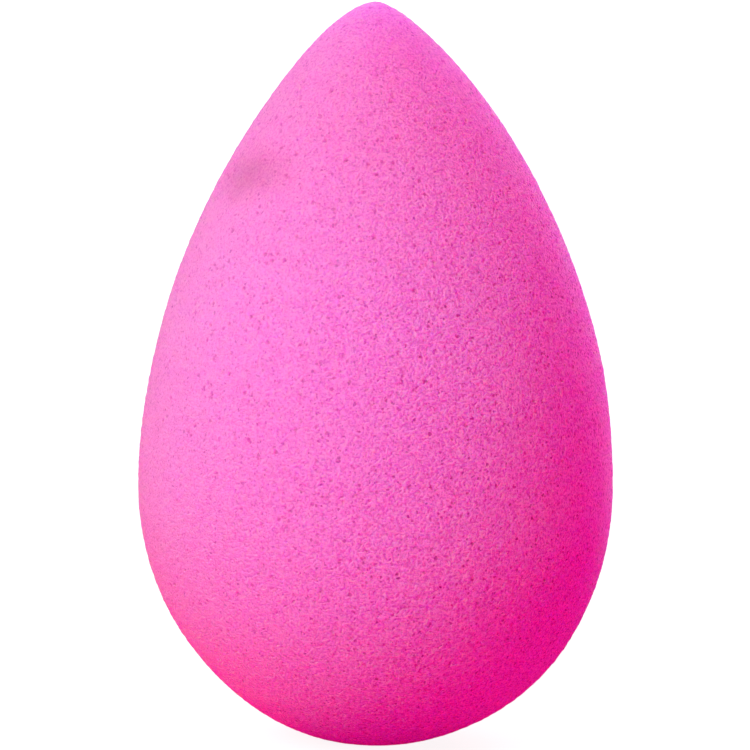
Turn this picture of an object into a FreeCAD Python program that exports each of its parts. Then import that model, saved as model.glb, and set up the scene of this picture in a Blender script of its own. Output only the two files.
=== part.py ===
"""A teardrop makeup sponge, moulded in one piece from fine-celled polyurethane foam.

The sponge stands on its round end with the tip up. Its soft foam is pressed flat over
a small round patch where it stands, and that patch is the only face it rests on.

Millimetres, +Z up along the sponge's axis, origin at the middle of the resting patch.
"""

import FreeCAD
import Part

import math
import os

# Overall form
SPONGE_HEIGHT = 60.0  # from the resting patch to the tip
BELLY_DIAMETER = 38.5  # at the widest place
BELLY_HEIGHT = 20.5  # of the widest place above the resting patch

# Ends
TIP_RADIUS = 1.5  # of the rounded tip, in the profile
BASE_RADIUS = 18.7  # of the round end before it is pressed, in the profile
PRESS_DEPTH = 0.5  # how much of the round end the sponge's own weight presses flat

# Shape of the flank, as shares of the rise from the belly to the tip and of the belly's radius
FLANK_UPRIGHT_SHARE = 0.383  # how far up the flank still aims straight up
SHOULDER_RISE_SHARE = 0.716  # where the shoulder's control point lies, up the rise
SHOULDER_REACH_SHARE = 0.687  # how far out from the axis it lies

# Shape of the round end, as a share of the drop from the belly to its unpressed end
BASE_UPRIGHT_SHARE = 0.534  # how far down the side still aims straight down

# A Bezier curve of degree n whose first side has length a ends in an arc of radius
# n / (n - 1) * a * a / rise, where rise is how far the next control point stands off.
FLANK_DEGREE = 4
BASE_DEGREE = 3

CUT_OVERRUN = 2.0  # how far a cutting block runs past what it cuts
FULL_TURN = 360.0

PARTS_FOLDER = "parts"
AXIS_FOOT = FreeCAD.Vector(0, 0, 0)
UP = FreeCAD.Vector(0, 0, 1)


def in_profile(radius, height):
    """The point of the profile at this radius from the axis and this height."""
    return FreeCAD.Vector(radius, 0, height)


def end_handle(end_radius, rise, degree):
    """Length of a Bezier curve's last side for an end that rounds off to end_radius."""
    return math.sqrt(end_radius * rise * (degree - 1) / degree)


def bezier_edge(points):
    """One edge along the Bezier curve with these control points."""
    curve = Part.BezierCurve()
    curve.setPoles(points)
    return curve.toShape()


def flank_edge():
    """The profile from the belly up over the shoulder to the tip."""
    belly_radius = BELLY_DIAMETER / 2
    rise = SPONGE_HEIGHT - BELLY_HEIGHT
    shoulder_height = BELLY_HEIGHT + SHOULDER_RISE_SHARE * rise
    tip_handle = end_handle(TIP_RADIUS, SPONGE_HEIGHT - shoulder_height, FLANK_DEGREE)
    return bezier_edge(
        [
            in_profile(belly_radius, BELLY_HEIGHT),
            in_profile(belly_radius, BELLY_HEIGHT + FLANK_UPRIGHT_SHARE * rise),
            in_profile(SHOULDER_REACH_SHARE * belly_radius, shoulder_height),
            in_profile(tip_handle, SPONGE_HEIGHT),
            in_profile(0, SPONGE_HEIGHT),
        ]
    )


def round_end_edge():
    """The profile from the unpressed round end's lowest point up to the belly."""
    belly_radius = BELLY_DIAMETER / 2
    drop = BELLY_HEIGHT + PRESS_DEPTH
    side_drop = BASE_UPRIGHT_SHARE * drop
    base_handle = end_handle(BASE_RADIUS, drop - side_drop, BASE_DEGREE)
    return bezier_edge(
        [
            in_profile(0, -PRESS_DEPTH),
            in_profile(base_handle, -PRESS_DEPTH),
            in_profile(belly_radius, BELLY_HEIGHT - side_drop),
            in_profile(belly_radius, BELLY_HEIGHT),
        ]
    )


def unpressed_teardrop():
    """The teardrop as it leaves the mould, round at its lower end."""
    axis_edge = Part.makeLine(in_profile(0, SPONGE_HEIGHT), in_profile(0, -PRESS_DEPTH))
    outline = Part.Wire([round_end_edge(), flank_edge(), axis_edge])
    return Part.Face(outline).revolve(AXIS_FOOT, UP, FULL_TURN)


def table_block():
    """The space under the resting patch, which the standing sponge can't enter."""
    block_radius = BELLY_DIAMETER / 2 + CUT_OVERRUN
    block_depth = PRESS_DEPTH + CUT_OVERRUN
    return Part.makeCylinder(block_radius, block_depth, in_profile(0, -block_depth), UP)


def foam_body():
    """The whole sponge: the teardrop, pressed flat where it stands."""
    return unpressed_teardrop().cut(table_block())


def resting_patch_radius(body):
    """Radius of the flat patch, measured on the finished body."""
    flat_faces = [face for face in body.Faces if isinstance(face.Surface, Part.Plane)]
    return math.sqrt(flat_faces[0].Area / math.pi)


def main():
    """Builds the sponge, writes it to the parts folder and prints its main facts."""
    os.makedirs(PARTS_FOLDER, exist_ok=True)
    body = foam_body()
    body.exportStep(os.path.join(PARTS_FOLDER, "foam_body.step"))
    print("foam_body valid", body.isValid(), "solids", len(body.Solids))
    print("volume", round(body.Volume, 1), "mm3, area", round(body.Area, 1), "mm2")
    print("resting patch radius", round(resting_patch_radius(body), 3), "mm")
    print("centre of mass height", round(body.Solids[0].CenterOfMass.z, 2), "mm")


main()
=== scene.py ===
"""The looks of a teardrop makeup sponge, one moulding of fine-celled pink foam.

The sponge stands on its round end, on a small patch that its own weight presses flat.
Its surface is soft foam grain, strewn with the open cells that show as pin-holes.

Metres throughout, in the frame's axes: +Z up along the sponge, -Y towards the camera.
"""

import logging
import math
from collections.abc import Callable, Iterable, Mapping
from dataclasses import dataclass, field
from enum import Enum
from functools import reduce

import bmesh
import bpy
import numpy as np
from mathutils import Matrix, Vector
from mathutils.kdtree import KDTree

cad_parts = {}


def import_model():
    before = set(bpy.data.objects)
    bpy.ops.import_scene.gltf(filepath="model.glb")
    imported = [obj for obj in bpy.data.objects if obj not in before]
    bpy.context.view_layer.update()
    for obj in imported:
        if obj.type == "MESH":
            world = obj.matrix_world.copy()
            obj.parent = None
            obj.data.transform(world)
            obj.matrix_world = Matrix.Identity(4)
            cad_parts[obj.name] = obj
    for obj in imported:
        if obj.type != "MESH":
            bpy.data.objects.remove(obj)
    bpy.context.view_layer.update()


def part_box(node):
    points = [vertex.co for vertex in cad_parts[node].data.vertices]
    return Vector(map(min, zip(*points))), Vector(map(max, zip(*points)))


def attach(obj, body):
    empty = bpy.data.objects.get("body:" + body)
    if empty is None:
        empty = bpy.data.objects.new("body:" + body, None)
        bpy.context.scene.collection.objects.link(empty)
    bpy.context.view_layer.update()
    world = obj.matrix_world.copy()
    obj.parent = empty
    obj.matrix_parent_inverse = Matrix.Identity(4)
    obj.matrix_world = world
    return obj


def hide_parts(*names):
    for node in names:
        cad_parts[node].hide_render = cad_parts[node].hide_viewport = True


LOG = logging.getLogger("makeup_sponge")

MM = 0.001
CAD_NODE = "foam_body"
BODY = "root"

# Degrees of the profile's two Bezier curves
FLANK_DEGREE = 4
ROUND_END_DEGREE = 3

# A noise lies around its middle, mostly within its spread on either side
NOISE_MIDDLE = 0.5
NOISE_SPREAD = 0.25

Colour = tuple[float, float, float]
WHITE: Colour = (1.0, 1.0, 1.0)


class Ray(Enum):
    """The kinds of ray that see the studio's white instead of its real light."""

    CAMERA = "Is Camera Ray"
    GLOSSY = "Is Glossy Ray"
    TRANSMISSION = "Is Transmission Ray"


def bezier_point(points: list[Vector], share: float) -> Vector:
    """Finds a point of a Bezier curve by halving its control lines down to one point.

    Args:
        points: The curve's control points.
        share: How far along the curve, from 0 to 1.

    Returns:
        The point of the curve.
    """
    while len(points) > 1:
        points = [start.lerp(end, share) for start, end in zip(points, points[1:])]
    return points[0]


def end_handle(end_radius: float, rise: float, degree: int) -> float:
    """Works out how long a Bezier curve's last side is.

    Args:
        end_radius: Radius that the curve rounds off to at its end.
        rise: How far the control point before that side stands off.
        degree: The curve's degree.

    Returns:
        The length of the side.
    """
    return math.sqrt(end_radius * rise * (degree - 1) / degree)


@dataclass(frozen=True)
class Teardrop:
    """The sponge's profile: a flank from the belly to the tip, and a round end below."""

    height: float
    belly_radius: float
    belly_height: float = 20.5 * MM
    tip_radius: float = 1.5 * MM
    base_radius: float = 18.7 * MM
    press_depth: float = 0.5 * MM
    flank_upright_share: float = 0.383
    shoulder_rise_share: float = 0.716
    shoulder_reach_share: float = 0.687
    base_upright_share: float = 0.534

    @classmethod
    def of_node(cls, node: str) -> "Teardrop":
        """Takes the height and the belly's radius from a node of the frame."""
        low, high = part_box(node)
        return cls(height=high[2] - low[2], belly_radius=(high[0] - low[0]) / 2)

    def flank(self) -> list[Vector]:
        """Places the flank's control points.

        Returns:
            Each point's (radius, height), from the belly up to the tip.
        """
        rise = self.height - self.belly_height
        shoulder = self.belly_height + self.shoulder_rise_share * rise
        tip_handle = end_handle(self.tip_radius, self.height - shoulder, FLANK_DEGREE)
        return [
            Vector((self.belly_radius, self.belly_height)),
            Vector((self.belly_radius, self.belly_height + self.flank_upright_share * rise)),
            Vector((self.shoulder_reach_share * self.belly_radius, shoulder)),
            Vector((tip_handle, self.height)),
            Vector((0.0, self.height)),
        ]

    def round_end(self) -> list[Vector]:
        """Places the round end's control points.

        Returns:
            Each point's (radius, height), from the unpressed low end up to the belly.
        """
        drop = self.belly_height + self.press_depth
        side_drop = self.base_upright_share * drop
        base_handle = end_handle(self.base_radius, drop - side_drop, ROUND_END_DEGREE)
        return [
            Vector((0.0, -self.press_depth)),
            Vector((base_handle, -self.press_depth)),
            Vector((self.belly_radius, self.belly_height - side_drop)),
            Vector((self.belly_radius, self.belly_height)),
        ]

    def outline(self, end_steps: int, flank_steps: int) -> list[Vector]:
        """Points of the whole profile, from the low end up to the tip.

        Args:
            end_steps: Steps from the low end to the belly.
            flank_steps: Steps from the belly to the tip.

        Returns:
            One (radius, height) for each step's end, and the first.
        """
        low = [bezier_point(self.round_end(), step / end_steps) for step in range(end_steps)]
        high = [bezier_point(self.flank(), step / flank_steps) for step in range(flank_steps + 1)]
        return low + high


class Value:
    """A number in a shader, which adds Math nodes when it is used in an expression."""

    def __init__(self, shader: "Shader", socket: bpy.types.NodeSocket) -> None:
        """Wraps an output socket of one of the shader's nodes."""
        self.shader = shader
        self.socket = socket

    def _with(self, operation: str, first: "Value | float", second: "Value | float") -> "Value":
        """Adds one Math node.

        Args:
            operation: The Math node's operation.
            first: Its first value.
            second: Its second value.

        Returns:
            The node's result.
        """
        inputs = {0: first, 1: second}
        made = self.shader.node("ShaderNodeMath", {"operation": operation}, inputs)
        return self.shader.value(made)

    def __add__(self, other: "Value | float") -> "Value":
        """This value plus another."""
        return self._with("ADD", self, other)

    __radd__ = __add__

    def __sub__(self, other: "Value | float") -> "Value":
        """This value less another."""
        return self._with("SUBTRACT", self, other)

    def __rsub__(self, other: float) -> "Value":
        """Another value less this one."""
        return self._with("SUBTRACT", other, self)

    def __mul__(self, other: "Value | float") -> "Value":
        """This value times another."""
        return self._with("MULTIPLY", self, other)

    __rmul__ = __mul__

    def __truediv__(self, other: "Value | float") -> "Value":
        """This value over another."""
        return self._with("DIVIDE", self, other)

    def __rtruediv__(self, other: float) -> "Value":
        """Another value over this one."""
        return self._with("DIVIDE", other, self)

    def at_least(self, other: "Value | float") -> "Value":
        """The larger of this value and another."""
        return self._with("MAXIMUM", self, other)


class Shader:
    """A node tree that is built up from expressions."""

    def __init__(self, owner: bpy.types.Material | bpy.types.World) -> None:
        """Starts an empty tree.

        Args:
            owner: The material or world whose nodes are replaced.
        """
        owner.use_nodes = True
        self.tree = owner.node_tree
        self.tree.nodes.clear()

    def node(
        self,
        kind: str,
        settings: Mapping[str, object] | None = None,
        inputs: Mapping[str | int, object] | None = None,
    ) -> bpy.types.Node:
        """Adds a node, sets it, then fills or links its sockets.

        Args:
            kind: The node's type.
            settings: The node's own settings, by name.
            inputs: A number, colour, Value or socket for each input, by name or place.

        Returns:
            The new node.
        """
        made = self.tree.nodes.new(kind)
        for name, setting in (settings or {}).items():
            setattr(made, name, setting)
        for name, given in (inputs or {}).items():
            self._feed(made.inputs[name], given)
        return made

    def _feed(self, socket: bpy.types.NodeSocket, given: object) -> None:
        """Links or fills one input.

        Args:
            socket: The input.
            given: A Value or a socket to link it to, or a plain value to fill it with.
        """
        if isinstance(given, Value):
            self.tree.links.new(given.socket, socket)
        elif isinstance(given, bpy.types.NodeSocket):
            self.tree.links.new(given, socket)
        elif isinstance(given, tuple) and socket.type == "RGBA":
            socket.default_value = (*given, 1.0)
        else:
            socket.default_value = given

    def value(self, node: bpy.types.Node, output: str | int = 0) -> Value:
        """One output of a node, ready for expressions."""
        return Value(self, node.outputs[output])

    def places(self) -> bpy.types.NodeSocket:
        """Each point's place on the object."""
        return self.node("ShaderNodeTexCoord").outputs["Object"]

    def noise(self, size: float, detail: float = 2.0, roughness: float = 0.5) -> bpy.types.Node:
        """Adds a noise over the object.

        Args:
            size: About how far apart its light spots lie.
            detail: How many finer layers it has.
            roughness: How strong the finer layers are.

        Returns:
            The noise's node.
        """
        inputs = {
            "Vector": self.places(),
            "Scale": 1 / size,
            "Detail": detail,
            "Roughness": roughness,
        }
        return self.node("ShaderNodeTexNoise", None, inputs)

    def speckle(self, size: float, roughness: float = 0.5) -> Value:
        """Noise as one value, with a size and roughness as in the method noise."""
        return self.value(self.noise(size, roughness=roughness))

    def strayed(self, size: float, reach: float) -> bpy.types.NodeSocket:
        """Each point's place, strayed a little, so that what reads it isn't quite regular.

        Args:
            size: About how far apart two unlike strays lie.
            reach: About how far a place strays.

        Returns:
            The strayed place.
        """
        stray = self.noise(size, detail=1.0).outputs["Color"]
        inputs = {0: stray, 1: (NOISE_MIDDLE, NOISE_MIDDLE, NOISE_MIDDLE)}
        centred = self.node("ShaderNodeVectorMath", {"operation": "SUBTRACT"}, inputs)
        inputs = {0: centred.outputs["Vector"], "Scale": reach / NOISE_SPREAD}
        scaled = self.node("ShaderNodeVectorMath", {"operation": "SCALE"}, inputs)
        inputs = {0: scaled.outputs["Vector"], 1: self.places()}
        return self.node("ShaderNodeVectorMath", {"operation": "ADD"}, inputs).outputs["Vector"]

    def ramp(self, value: Value, start: float, end: float) -> Value:
        """Eases a value from 0 to 1.

        Args:
            value: The value to ease.
            start: Where it reaches 0, and stays 0 below.
            end: Where it reaches 1, and stays 1 above.

        Returns:
            The eased value.
        """
        inputs = {"Value": value, "From Min": start, "From Max": end}
        made = self.node("ShaderNodeMapRange", {"interpolation_type": "SMOOTHSTEP"}, inputs)
        return self.value(made)

    def shaded(
        self,
        colour: Colour | bpy.types.NodeSocket,
        shade: Colour,
        strength: Value | bpy.types.NodeSocket,
    ) -> bpy.types.NodeSocket:
        """Multiplies a colour by a shade.

        Args:
            colour: The colour to shade.
            shade: What it is multiplied by where the shade is full.
            strength: How full the shade is, from 0 to 1.

        Returns:
            The shaded colour.
        """
        made = self.node("ShaderNodeMix", {"data_type": "RGBA", "blend_type": "MULTIPLY"})
        named = {socket.identifier: socket for socket in made.inputs}
        self._feed(named["Factor_Float"], strength)
        self._feed(named["A_Color"], colour)
        self._feed(named["B_Color"], shade)
        return next(socket for socket in made.outputs if socket.identifier == "Result_Color")

    def any_of(self, rays: Iterable[Ray]) -> Value:
        """1 for a ray of one of these kinds, and 0 for any other."""
        path = self.node("ShaderNodeLightPath")
        return reduce(Value.at_least, [self.value(path, ray.value) for ray in rays])


@dataclass(frozen=True)
class DarkPatch:
    """A soft dusky patch with a ragged edge, wider along the sponge's girth than up it."""

    centre: Vector
    turn: float
    tilt: float = math.radians(8)
    half_width: float = 6.2 * MM
    half_depth: float = 5.0 * MM
    half_height: float = 2.9 * MM
    ragged_size: float = 2.2 * MM
    raggedness: float = 0.4
    full_within: float = 0.05
    gone_beyond: float = 1.15
    darkest: Colour = (0.56, 0.74, 0.68)

    def strength(self, shader: Shader) -> Value:
        """Works out how strongly the patch shows.

        Args:
            shader: The shader that shows it.

        Returns:
            Its strength at each point, from 0 to 1.
        """
        inputs = {
            "Vector": shader.places(),
            "Location": self.centre,
            "Rotation": (0.0, -self.tilt, self.turn + math.pi / 2),
            "Scale": (self.half_width, self.half_depth, self.half_height),
        }
        placed = shader.node("ShaderNodeMapping", {"vector_type": "TEXTURE"}, inputs)
        inputs = {0: placed.outputs["Vector"]}
        length = shader.node("ShaderNodeVectorMath", {"operation": "LENGTH"}, inputs)
        stray = (shader.speckle(self.ragged_size) - NOISE_MIDDLE) * self.raggedness
        ragged = shader.value(length, "Value") + stray
        return 1 - shader.ramp(ragged, self.full_within, self.gone_beyond)


@dataclass(frozen=True)
class ShadeSideCoarsening:
    """How strongly the pores' painted shade and the grain's relief show, rising from the lit upper
    left to the shaded lower right.
    """

    direction: tuple[float, float, float] = (0.95, 0.0, -0.25)
    start: float = -24 * MM
    end: float = 8 * MM
    least: float = 0.38

    def strength(self, shader: Shader) -> Value:
        """Works out how strongly the pores' painted shade and the grain's relief show.

        Args:
            shader: The shader that shows them.

        Returns:
            How strongly they show at each point, up to 1.
        """
        inputs = {0: shader.places(), 1: self.direction}
        along = shader.node("ShaderNodeVectorMath", {"operation": "DOT_PRODUCT"}, inputs)
        grown = shader.ramp(shader.value(along, "Value"), self.start, self.end)
        return grown * (1 - self.least) + self.least


@dataclass(frozen=True)
class Bubbles:
    """Fine bubbles of the foam, of one size, where the surface cuts them open; their shade is painted
    shade in the hollows.
    """

    spacing: float
    radius: float
    open_share: float
    depth: float
    shade: Colour
    stray: float
    narrowest_share: float = 0.4
    floor_share: float = 0.5

    def sunk(self, shader: Shader) -> Value:
        """Works out how deep in an open bubble each point lies.

        Args:
            shader: The shader that shows the bubbles.

        Returns:
            The depth at each point, from 0 outside to 1 on a bubble's floor.
        """
        places = shader.strayed(self.spacing, self.stray)
        inputs = {"Vector": places, "Scale": 1 / self.spacing}
        nearest = shader.node("ShaderNodeTexVoronoi", None, inputs)
        drawn = shader.node("ShaderNodeSeparateColor", None, {0: nearest.outputs["Color"]})
        far = shader.value(nearest, "Distance") * (self.spacing / self.radius)
        width = shader.value(drawn, "Red") * (1 - self.narrowest_share) + self.narrowest_share
        is_open = shader.ramp(shader.value(drawn, "Green"), 1 - self.open_share, 1.0)
        return (1 - shader.ramp(far / width, self.floor_share, 1.0)) * is_open


@dataclass(frozen=True)
class FoamFinish:
    """Soft pink foam: light sinks in and comes out redder, and painted shade darkens its open cells,
    its grain's hollows and its tip.
    """

    pink: Colour = (0.985, 0.445, 0.972)
    mottle_shade: Colour = (0.94, 0.90, 0.94)
    mottle_strength: float = 0.5
    mottle_size: float = 1.6 * MM
    mottle_start: float = 0.35
    mottle_end: float = 0.75
    # Painted shade that darkens the pink towards the tip
    painted_tip_shade: Colour = (0.92, 0.80, 0.70)
    tip_start: float = 34 * MM
    tip_end: float = 62 * MM
    # Strength of the pores' painted shade and of the grain's relief, rising towards the shaded lower
    # right
    shade_side_coarsening: ShadeSideCoarsening = ShadeSideCoarsening()
    # Painted shade that darkens the pink evenly on the lit upper left, where the pores' painted shade
    # is weak
    painted_even_shade: Colour = (0.80, 0.60, 0.57)
    grain_size: float = 0.20 * MM
    grain_roughness: float = 0.6
    grain_relief: float = 0.57 * MM
    # Painted shade in the grain's hollows
    painted_hollow_shade: Colour = (0.69, 0.36, 0.73)
    hollow_full_below: float = 0.36
    hollow_gone_above: float = 0.60
    # The bubbles' shades are painted shade in their open hollows
    large_bubbles: Bubbles = Bubbles(
        spacing=0.42 * MM,
        radius=0.18 * MM,
        open_share=0.9,
        depth=0.16 * MM,
        shade=(0.34, 0.12, 0.40),
        stray=0.10 * MM,
    )
    small_bubbles: Bubbles = Bubbles(
        spacing=0.28 * MM,
        radius=0.14 * MM,
        open_share=0.8,
        depth=0.12 * MM,
        shade=(0.66, 0.22, 0.60),
        stray=0.08 * MM,
    )
    cell_attribute: str = "open_cell"
    # Painted shade in the open cells that the mesh sinks in
    painted_cell_shade: Colour = (0.62, 0.40, 0.58)
    roughness: float = 0.9
    specular: float = 0.03
    scatter_share: float = 0.75
    scatter_reach: tuple[float, float, float] = (200 * MM, 0.08 * MM, 55 * MM)

    def material(self, dark_patch: DarkPatch) -> bpy.types.Material:
        """Makes the foam's material.

        Args:
            dark_patch: The dusky patch on the flank.

        Returns:
            The material.
        """
        material = bpy.data.materials.new("pink_foam")
        shader = Shader(material)
        grain = shader.speckle(self.grain_size, self.grain_roughness)
        # How strongly painted shade and relief show, rising from the lit upper left to the shaded
        # lower right
        coarse_towards_shade = self.shade_side_coarsening.strength(shader)
        height = grain * self.grain_relief
        # Painted shade: evenly darker on the lit upper left, about as much as the pores darken the
        # rest
        colour = shader.shaded(self._pink(shader, dark_patch), self.painted_even_shade, 1 - coarse_towards_shade)
        # Painted shade in the grain's hollows, stronger towards the shaded lower right
        raised = shader.ramp(grain, self.hollow_full_below, self.hollow_gone_above)
        colour = shader.shaded(colour, self.painted_hollow_shade, (1 - raised) * coarse_towards_shade)
        # Painted shade in the open bubbles, which also sink the bump
        for bubbles in (self.large_bubbles, self.small_bubbles):
            sunk = bubbles.sunk(shader) * coarse_towards_shade
            height = height - sunk * bubbles.depth
            colour = shader.shaded(colour, bubbles.shade, sunk)
        # Painted shade in the open cells, by how deep the mesh sinks them
        cell = shader.node("ShaderNodeAttribute", {"attribute_name": self.cell_attribute})
        colour = shader.shaded(colour, self.painted_cell_shade, cell.outputs["Fac"])
        bump = shader.node("ShaderNodeBump", None, {"Height": height * coarse_towards_shade, "Distance": 1.0})
        inputs = {
            "Base Color": colour,
            "Roughness": self.roughness,
            "Specular IOR Level": self.specular,
            "Subsurface Weight": self.scatter_share,
            "Subsurface Radius": self.scatter_reach,
            "Subsurface Scale": 1.0,
            "Normal": bump.outputs["Normal"],
        }
        foam = shader.node("ShaderNodeBsdfPrincipled", None, inputs)
        shader.node("ShaderNodeOutputMaterial", None, {"Surface": foam.outputs[0]})
        return material

    def _pink(self, shader: Shader, dark_patch: DarkPatch) -> bpy.types.NodeSocket:
        """Mixes the foam's pink: mottled, deepened towards the tip by painted shade, and darker in a
        soft patch on the flank.

        Args:
            shader: The foam's shader.
            dark_patch: The dusky patch on the flank.

        Returns:
            The colour at each point, without its pores.
        """
        mottle = shader.ramp(shader.speckle(self.mottle_size), self.mottle_start, self.mottle_end)
        pink = shader.shaded(self.pink, self.mottle_shade, mottle * self.mottle_strength)
        parts = shader.node("ShaderNodeSeparateXYZ", None, {0: shader.places()})
        # Painted shade: the pink darkens towards the tip
        tipward = shader.ramp(shader.value(parts, "Z"), self.tip_start, self.tip_end)
        pink = shader.shaded(pink, self.painted_tip_shade, tipward)
        # Darkens the pink over a soft ragged patch on the upper flank, by the dimple
        return shader.shaded(pink, dark_patch.darkest, dark_patch.strength(shader))


@dataclass(frozen=True)
class OpenCells:
    """The foam's cells that lie open at the surface, as pin-holes of mixed width."""

    count: int = 7000
    narrow_radius: float = 0.09 * MM
    wide_radius: float = 0.20 * MM
    wide_share_power: float = 3.0
    depth: float = 0.15 * MM
    bowl_power: float = 1.5
    seed: int = 20
    end_steps: int = 400
    flank_steps: int = 800

    def places(self, shape: Teardrop) -> list[tuple[Vector, float]]:
        """Strews the cells evenly over the sponge.

        Args:
            shape: The sponge's profile.

        Returns:
            Each cell's centre and radius.
        """
        draw = np.random.default_rng(self.seed)
        outline = shape.outline(self.end_steps, self.flank_steps)
        points = np.array([tuple(point) for point in outline])
        steps = np.linalg.norm(np.diff(points, axis=0), axis=1)
        girths = (points[1:, 0] + points[:-1, 0]) / 2
        area_below = np.concatenate([[0.0], np.cumsum(steps * girths)])
        drawn = draw.random(self.count) * area_below[-1]
        radii = np.interp(drawn, area_below, points[:, 0])
        heights = np.maximum(np.interp(drawn, area_below, points[:, 1]), 0.0)
        turns = draw.random(self.count) * math.tau
        spread = draw.random(self.count) ** self.wide_share_power
        widths = self.narrow_radius + (self.wide_radius - self.narrow_radius) * spread
        centres = np.column_stack([radii * np.cos(turns), radii * np.sin(turns), heights])
        return [(Vector(centre), float(width)) for centre, width in zip(centres, widths)]

    def sunk(self, distance: float, radius: float) -> float:
        """How deep a point lies in a cell's bowl, as a share of the widest cell's depth."""
        bowl = (1 - (distance / radius) ** 2) ** self.bowl_power
        return radius / self.wide_radius * bowl


@dataclass(frozen=True)
class FlatMap:
    """How the surface is laid flat: a sleeve for the flank, and a round patch for each end."""

    name: str = "OFBake"
    sleeve_middle: float = 0.5
    sleeve_width: float = 0.97
    sleeve_foot: float = 0.14
    sleeve_height: float = 0.85
    tip_patch: tuple[float, float] = (0.25, 0.068)
    base_patch: tuple[float, float] = (0.75, 0.068)
    cap_depth: float = 0.6 * MM
    cap_span: float = 110 * MM
    end_steps: int = 200
    flank_steps: int = 400

    def lay(self, piece: bpy.types.Object, shape: Teardrop) -> None:
        """Adds the map to the foam body.

        Args:
            piece: The finished surface.
            shape: The sponge's profile.
        """
        mesh = piece.data
        corners = read_all(mesh.loops, "vertex_index", 1, np.int64)[:, 0]
        sides = read_all(mesh.polygons, "loop_total", 1, np.int64)[:, 0]
        middle = np.repeat(read_all(mesh.polygons, "center", 3), sides, axis=0)
        place = read_all(mesh.vertices, "co", 3)[corners]
        # Each corner's turn is taken on its face's side of the seam
        turn = np.arctan2(middle[:, 1], middle[:, 0])
        off = np.arctan2(place[:, 1], place[:, 0]) - turn
        turn += (off + math.pi) % math.tau - math.pi
        around = self.sleeve_middle + turn / math.tau * self.sleeve_width
        climbed = self._climbed(place[:, 2], shape)
        flat = np.column_stack([around, self.sleeve_foot + climbed * self.sleeve_height])
        for is_end, patch in (
            (middle[:, 2] > shape.height - self.cap_depth, self.tip_patch),
            (middle[:, 2] < self.cap_depth, self.base_patch),
        ):
            flat[is_end] = place[is_end, :2] / self.cap_span + patch
        mapped = mesh.uv_layers.new(name=self.name)
        mapped.data.foreach_set("uv", flat.astype(np.float32).ravel())

    def _climbed(self, heights: np.ndarray, shape: Teardrop) -> np.ndarray:
        """Works out how far along the profile some heights lie.

        Args:
            heights: The heights.
            shape: The sponge's profile.

        Returns:
            Each height's share of the way from the low end to the tip.
        """
        outline = np.array([tuple(point) for point in shape.outline(self.end_steps, self.flank_steps)])
        steps = np.linalg.norm(np.diff(outline, axis=0), axis=1)
        along = np.concatenate([[0.0], np.cumsum(steps)])
        return np.interp(heights, outline[:, 1], along) / along[-1]


@dataclass(frozen=True)
class Sway:
    """How far the body stands off its axis, to the right, at one height."""

    height: float
    shift: float
    reach: float
    band: float = 1 * MM


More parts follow.
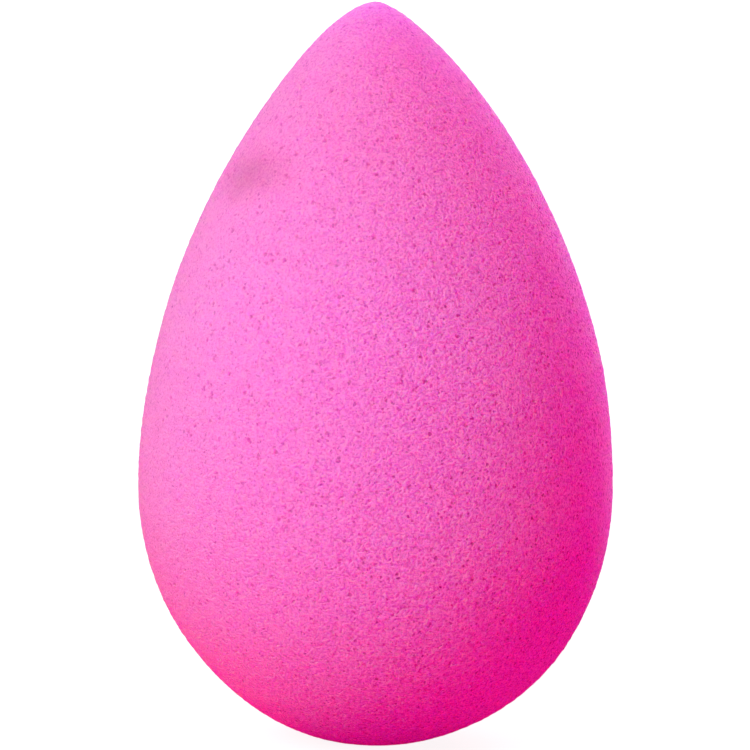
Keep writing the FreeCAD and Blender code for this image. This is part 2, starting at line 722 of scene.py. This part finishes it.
@dataclass
class FoamBody:
    """The sponge's one moulding, from a blank ball to foam full of open cells."""

    shape: Teardrop
    finish: FoamFinish = field(default_factory=FoamFinish)
    cells: OpenCells = field(default_factory=OpenCells)
    flat_map: FlatMap = field(default_factory=FlatMap)
    girth_segments: int = 96
    flank_rings: int = 64
    end_rings: int = 32
    foam_step: float = 0.12 * MM
    tip_lean: float = -0.2 * MM
    tip_lean_reach: float = 14 * MM
    sways: tuple[Sway, ...] = (
        Sway(height=21.5 * MM, shift=-0.13 * MM, reach=9 * MM),
        Sway(height=5 * MM, shift=0.2 * MM, reach=8 * MM),
    )
    dimple_turn: float = math.radians(-150)
    dimple_height: float = 46.9 * MM
    dimple_depth: float = 0.18 * MM
    dimple_core: float = 1 * MM
    dimple_reach: float = 3.6 * MM
    unevenness: float = 0.12 * MM
    unevenness_size: float = 16 * MM
    grain_relief: float = 0.11 * MM
    grain_size: float = 0.5 * MM
    skin_level: float = 0.75
    still_height: float = 0.8 * MM

    def build(self) -> bpy.types.Object:
        """Shapes the foam body and dresses it.

        Returns:
            The finished piece.
        """
        piece = self._blank()
        self._draw_out(piece)
        self._press_base(piece)
        self._lean(piece)
        self._dent(piece)
        self._fill_out(piece)
        self._open_cells(piece)
        self._roughen(piece)
        self.flat_map.lay(piece, self.shape)
        # A soft darker patch on the flank, centred on the dimple
        dark_patch = DarkPatch(self.dimple_centre(), self.dimple_turn)
        piece.data.materials.append(self.finish.material(dark_patch))
        return piece

    def dimple_centre(self) -> Vector:
        """Finds the middle of the thumb dimple.

        Returns:
            Its place on the flank.
        """
        outline = self.shape.outline(end_steps=100, flank_steps=400)
        radius, height = min(outline, key=lambda point: abs(point[1] - self.dimple_height))
        turn = self.dimple_turn
        return Vector((radius * math.cos(turn), radius * math.sin(turn), height))

    def _blank(self) -> bpy.types.Object:
        """Adds the ball that the body is drawn out of.

        Returns:
            The ball.
        """
        bpy.ops.mesh.primitive_uv_sphere_add(
            segments=self.girth_segments,
            ring_count=self.flank_rings + self.end_rings,
            radius=self.shape.belly_radius,
        )
        piece = bpy.context.object
        piece.name = "foam_moulding"
        piece.data.name = "foam_moulding"
        return piece

    def _draw_out(self, piece: bpy.types.Object) -> None:
        """Moves and scales each ring of the ball onto the teardrop's profile.

        Args:
            piece: The ball.
        """
        outline = self.shape.outline(self.end_rings, self.flank_rings)
        rings = len(outline) - 1
        ball = self.shape.belly_radius
        ring_of = [ring_at(vertex.co.z / ball, rings) for vertex in piece.data.vertices]
        bpy.ops.object.mode_set(mode="EDIT")
        for ring, (radius, height) in enumerate(outline):
            select_points(piece, lambda vertex: ring_of[vertex.index] == ring)
            angle = math.pi * ring / rings
            if 0 < ring < rings:
                scale = radius / (ball * math.sin(angle))
                bpy.ops.transform.resize(value=(scale, scale, 1), center_override=(0, 0, 0))
            bpy.ops.transform.translate(value=(0, 0, height + ball * math.cos(angle)))
        bpy.ops.object.mode_set(mode="OBJECT")

    def _press_base(self, piece: bpy.types.Object) -> None:
        """Flattens what the sponge's weight presses against the table.

        Args:
            piece: The drawn-out body.
        """
        bpy.ops.object.mode_set(mode="EDIT")
        select_points(piece, lambda vertex: vertex.co.z < 0)
        bpy.ops.transform.resize(value=(1, 1, 0), center_override=(0, 0, 0))
        bpy.ops.object.mode_set(mode="OBJECT")

    def _lean(self, piece: bpy.types.Object) -> None:
        """Lets the tip lean a little to one side, and the body sway a little.

        Args:
            piece: The pressed body.
        """
        bpy.ops.object.mode_set(mode="EDIT")
        tip_foot = self.shape.height - self.shape.tip_radius / 2
        select_points(piece, lambda vertex: vertex.co.z > tip_foot)
        pull((self.tip_lean, 0, 0), self.tip_lean_reach)
        for sway in self.sways:
            select_points(piece, lambda vertex: abs(vertex.co.z - sway.height) < sway.band)
            pull((sway.shift, 0, 0), sway.reach)
        bpy.ops.object.mode_set(mode="OBJECT")

    def _dent(self, piece: bpy.types.Object) -> None:
        """Presses the shallow thumb dimple into the flank.

        Args:
            piece: The leaning body.
        """
        centre = self.dimple_centre()
        inward = Vector((-centre.x, -centre.y, 0)).normalized()
        bpy.ops.object.mode_set(mode="EDIT")
        select_points(piece, lambda vertex: (vertex.co - centre).length < self.dimple_core)
        pull(inward * self.dimple_depth, self.dimple_reach)
        bpy.ops.object.mode_set(mode="OBJECT")

    def _fill_out(self, piece: bpy.types.Object) -> None:
        """Smooths the rings and turns them into an even, fine foam surface.

        Args:
            piece: The dented body.
        """
        apply_modifier(piece, "SUBSURF", {"levels": 2, "render_levels": 2})
        apply_modifier(piece, "REMESH", {"mode": "VOXEL", "voxel_size": self.foam_step})
        apply_modifier(piece, "SMOOTH", {"factor": 0.5, "iterations": 4})
        bpy.ops.object.shade_smooth()

    def _open_cells(self, piece: bpy.types.Object) -> None:
        """Sinks the open cells into the surface and marks how deep each point lies.

        Args:
            piece: The body with its fine surface.
        """
        mesh = piece.data
        tree = KDTree(len(mesh.vertices))
        for index, place in enumerate(read_all(mesh.vertices, "co", 3)):
            tree.insert(place, index)
        tree.balance()
        sunk: dict[int, float] = {}
        for centre, radius in self.cells.places(self.shape):
            for _, index, distance in tree.find_range(centre, radius):
                sunk[index] = max(sunk.get(index, 0.0), self.cells.sunk(distance, radius))
        group = piece.vertex_groups.new(name="sunk_cells")
        for index, weight in sunk.items():
            group.add([index], weight, "REPLACE")
        depths = np.zeros(len(mesh.vertices))
        depths[list(sunk)] = list(sunk.values())
        marks = mesh.attributes.new(self.finish.cell_attribute, "FLOAT", "POINT")
        marks.data.foreach_set("value", depths)
        settings = {
            "strength": -self.cells.depth,
            "mid_level": 0.0,
            "vertex_group": group.name,
        }
        apply_modifier(piece, "DISPLACE", settings)

    def _roughen(self, piece: bpy.types.Object) -> None:
        """Gives the surface its slow unevenness and its grain, but none where it stands.

        Args:
            piece: The body with its open cells.
        """
        heights = read_all(piece.data.vertices, "co", 3)[:, 2]
        free = piece.vertex_groups.new(name="free_skin")
        free.add(np.flatnonzero(heights >= self.still_height).tolist(), 1.0, "REPLACE")
        for index in np.flatnonzero(heights < self.still_height).tolist():
            free.add([index], max(0.0, float(heights[index]) / self.still_height), "REPLACE")
        for name, size, relief in (
            ("unevenness", self.unevenness_size, self.unevenness),
            ("grain", self.grain_size, self.grain_relief),
        ):
            noise = bpy.data.textures.new(name, "CLOUDS")
            noise.noise_scale = size
            noise.noise_depth = 1
            settings = {
                "texture": noise,
                "texture_coords": "LOCAL",
                "strength": relief,
                "mid_level": self.skin_level,
                "vertex_group": free.name,
            }
            apply_modifier(piece, "DISPLACE", settings)


def ring_at(rise: float, rings: int) -> int:
    """Finds which ring of the ball a point lies on.

    Args:
        rise: The point's height over the ball's middle, as a share of its radius.
        rings: How many steps from ring to ring lie between the ball's poles.

    Returns:
        The ring, counted from the low pole.
    """
    return round(math.acos(max(-1.0, min(1.0, -rise))) / math.pi * rings)


def read_all(
    items: bpy.types.bpy_prop_collection, name: str, width: int, kind: type = np.float64
) -> np.ndarray:
    """Reads one property of all of a mesh's points, corners or faces.

    Args:
        items: The points, corners or faces.
        name: The property.
        width: How many numbers it holds.
        kind: What kind of number they are.

    Returns:
        One row of numbers for each item.
    """
    numbers = np.empty(len(items) * width, dtype=kind)
    items.foreach_get(name, numbers)
    return numbers.reshape(-1, width)


def select_points(
    piece: bpy.types.Object, wanted: Callable[[bmesh.types.BMVert], bool]
) -> None:
    """Selects just the wanted points of a piece that is being edited.

    Args:
        piece: The piece in edit mode.
        wanted: Tells whether a point is wanted.
    """
    mesh = bmesh.from_edit_mesh(piece.data)
    for face in mesh.faces:
        face.select = False
    for edge in mesh.edges:
        edge.select = False
    for vertex in mesh.verts:
        vertex.select = wanted(vertex)
    mesh.select_flush(True)
    bmesh.update_edit_mesh(piece.data, loop_triangles=False, destructive=False)


def pull(shift: Iterable[float], reach: float) -> None:
    """Moves the selected points, and their neighbours less and less.

    Args:
        shift: How far the selected points move along each axis.
        reach: How far the pull is felt.
    """
    bpy.ops.transform.translate(
        value=tuple(shift),
        use_proportional_edit=True,
        proportional_edit_falloff="SMOOTH",
        proportional_size=reach,
    )


def apply_modifier(
    piece: bpy.types.Object, kind: str, settings: Mapping[str, object]
) -> None:
    """Adds a modifier to a piece and applies it.

    Args:
        piece: The active piece, in object mode.
        kind: The modifier's type.
        settings: The modifier's settings, by name.
    """
    modifier = piece.modifiers.new(kind.lower(), kind)
    for name, setting in settings.items():
        setattr(modifier, name, setting)
    bpy.ops.object.modifier_apply(modifier=modifier.name)


def seen_from(azimuth: float, elevation: float) -> Vector:
    """The direction from the sponge towards a place.

    Args:
        azimuth: Turn from the camera's side towards the right, in radians.
        elevation: Angle above level, in radians.

    Returns:
        A vector of length 1.
    """
    level = math.cos(elevation)
    return Vector((level * math.sin(azimuth), -level * math.cos(azimuth), math.sin(elevation)))


@dataclass(frozen=True)
class Softbox:
    """A square studio lamp that aims at the sponge."""

    name: str
    azimuth: float
    elevation: float
    level: float
    distance: float = 0.9
    side: float = 0.5

    def hang(self, target: Vector) -> bpy.types.Object:
        """Adds the lamp.

        Args:
            target: The point that it aims at.

        Returns:
            The lamp. A white card that faces it at the target renders at its level.
        """
        lamp = bpy.data.lights.new(self.name, "AREA")
        lamp.shape = "SQUARE"
        lamp.size = self.side
        lamp.energy = self.level * math.pi**2 * self.distance**2
        hung = bpy.data.objects.new(self.name, lamp)
        bpy.context.collection.objects.link(hung)
        out = seen_from(self.azimuth, self.elevation)
        hung.location = target + out * self.distance
        hung.rotation_euler = out.to_track_quat("Z", "Y").to_euler()
        return hung


@dataclass(frozen=True)
class Viewpoint:
    """Where the photograph was taken from, with the sensor's width in millimetres."""

    elevation: float = math.radians(10)
    distance: float = 450 * MM
    nearest_seen: float = 10 * MM
    image_side: float = 750
    pixels_per_mm: float = 12.404
    aim_height: float = 30 * MM
    aim_pixel: tuple[float, float] = (377.0, 371.4)
    sensor: float = 36.0

    def place(self) -> bpy.types.Object:
        """Adds the camera and makes it the scene's own.

        Returns:
            The camera.
        """
        lens = bpy.data.cameras.new("viewpoint")
        lens.sensor_width = self.sensor
        frame_width = self.image_side / self.pixels_per_mm * MM
        lens.lens = self.sensor * self.distance / frame_width
        lens.clip_start = self.nearest_seen
        camera = bpy.data.objects.new("viewpoint", lens)
        bpy.context.collection.objects.link(camera)
        out = seen_from(0.0, self.elevation)
        turn = out.to_track_quat("Z", "Y")
        middle = self.image_side / 2
        right = (middle - self.aim_pixel[0]) / self.pixels_per_mm * MM
        up = (self.aim_pixel[1] - middle) / self.pixels_per_mm * MM
        shift = turn @ Vector((right, up, 0))
        camera.location = Vector((0, 0, self.aim_height)) + out * self.distance + shift
        camera.rotation_euler = turn.to_euler()
        bpy.context.scene.camera = camera
        return camera


@dataclass
class Studio:
    """A pale floor, soft light and a white surround."""

    floor_side: float = 6.0
    floor_gap: float = 0.02 * MM
    floor_lit_share: Colour = (0.2, 0.2, 0.2)
    floor_glow: float = 0.9
    floor_bounce: Colour = (0.80, 0.02, 0.22)
    floor_shine: Colour = (0.38, 0.0, 0.14)
    fill: float = 0.02
    target_height: float = 28 * MM
    viewpoint: Viewpoint = Viewpoint()
    lamps: tuple[Softbox, ...] = (
        Softbox("key_softbox", math.radians(-40), math.radians(38), level=1.14),
        Softbox("back_softbox", math.radians(159), math.radians(25), level=1.26),
    )

    def build(self) -> None:
        """Sets up the floor, the lamps, the surround and the view."""
        self._floor()
        for lamp in self.lamps:
            lamp.hang(Vector((0, 0, self.target_height)))
        self._surround()
        self.viewpoint.place()
        bpy.context.scene.view_settings.view_transform = "Standard"

    def _floor(self) -> bpy.types.Object:
        """Adds the floor: white with the sponge's shadow to look at, but rosy as a lamp.

        Returns:
            The floor.
        """
        bpy.ops.mesh.primitive_plane_add(size=self.floor_side, location=(0, 0, -self.floor_gap))
        floor = bpy.context.object
        floor.name = "floor"
        material = bpy.data.materials.new("pale_floor")
        shader = Shader(material)
        lit = shader.node("ShaderNodeBsdfDiffuse", None, {"Color": self.floor_lit_share})
        glow = shader.node("ShaderNodeEmission", None, {"Strength": self.floor_glow})
        seen = shader.node("ShaderNodeAddShader", None, {0: lit.outputs[0], 1: glow.outputs[0]})
        bounced = shader.node("ShaderNodeBsdfDiffuse", None, {"Color": self.floor_bounce})
        shine = shader.node("ShaderNodeEmission", None, {"Color": self.floor_shine})
        inputs = {0: bounced.outputs[0], 1: shine.outputs[0]}
        thrown = shader.node("ShaderNodeAddShader", None, inputs)
        inputs = {0: shader.any_of(Ray), 1: thrown.outputs[0], 2: seen.outputs[0]}
        mixed = shader.node("ShaderNodeMixShader", None, inputs)
        shader.node("ShaderNodeOutputMaterial", None, {"Surface": mixed.outputs[0]})
        floor.data.materials.append(material)
        return floor

    def _surround(self) -> None:
        """Makes the world white to look at and dim as a lamp."""
        world = bpy.data.worlds.new("surround")
        bpy.context.scene.world = world
        shader = Shader(world)
        inputs = {"Color": WHITE, "Strength": self.fill}
        dim = shader.node("ShaderNodeBackground", None, inputs)
        inputs = {"Color": WHITE, "Strength": 1.0}
        bright = shader.node("ShaderNodeBackground", None, inputs)
        inputs = {0: shader.any_of(Ray), 1: dim.outputs[0], 2: bright.outputs[0]}
        mixed = shader.node("ShaderNodeMixShader", None, inputs)
        shader.node("ShaderNodeOutputWorld", None, {"Surface": mixed.outputs[0]})


def main() -> None:
    """Builds the sponge on its frame and sets up the studio around it."""
    logging.basicConfig(level=logging.INFO, format="%(message)s")
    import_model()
    bpy.ops.object.select_all(action="DESELECT")
    Studio().build()
    bpy.ops.object.select_all(action="DESELECT")
    piece = FoamBody(Teardrop.of_node(CAD_NODE)).build()
    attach(piece, BODY)
    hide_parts(CAD_NODE)
    LOG.info("%s has %d faces", piece.name, len(piece.data.polygons))


if __name__ == "__main__":
    main()
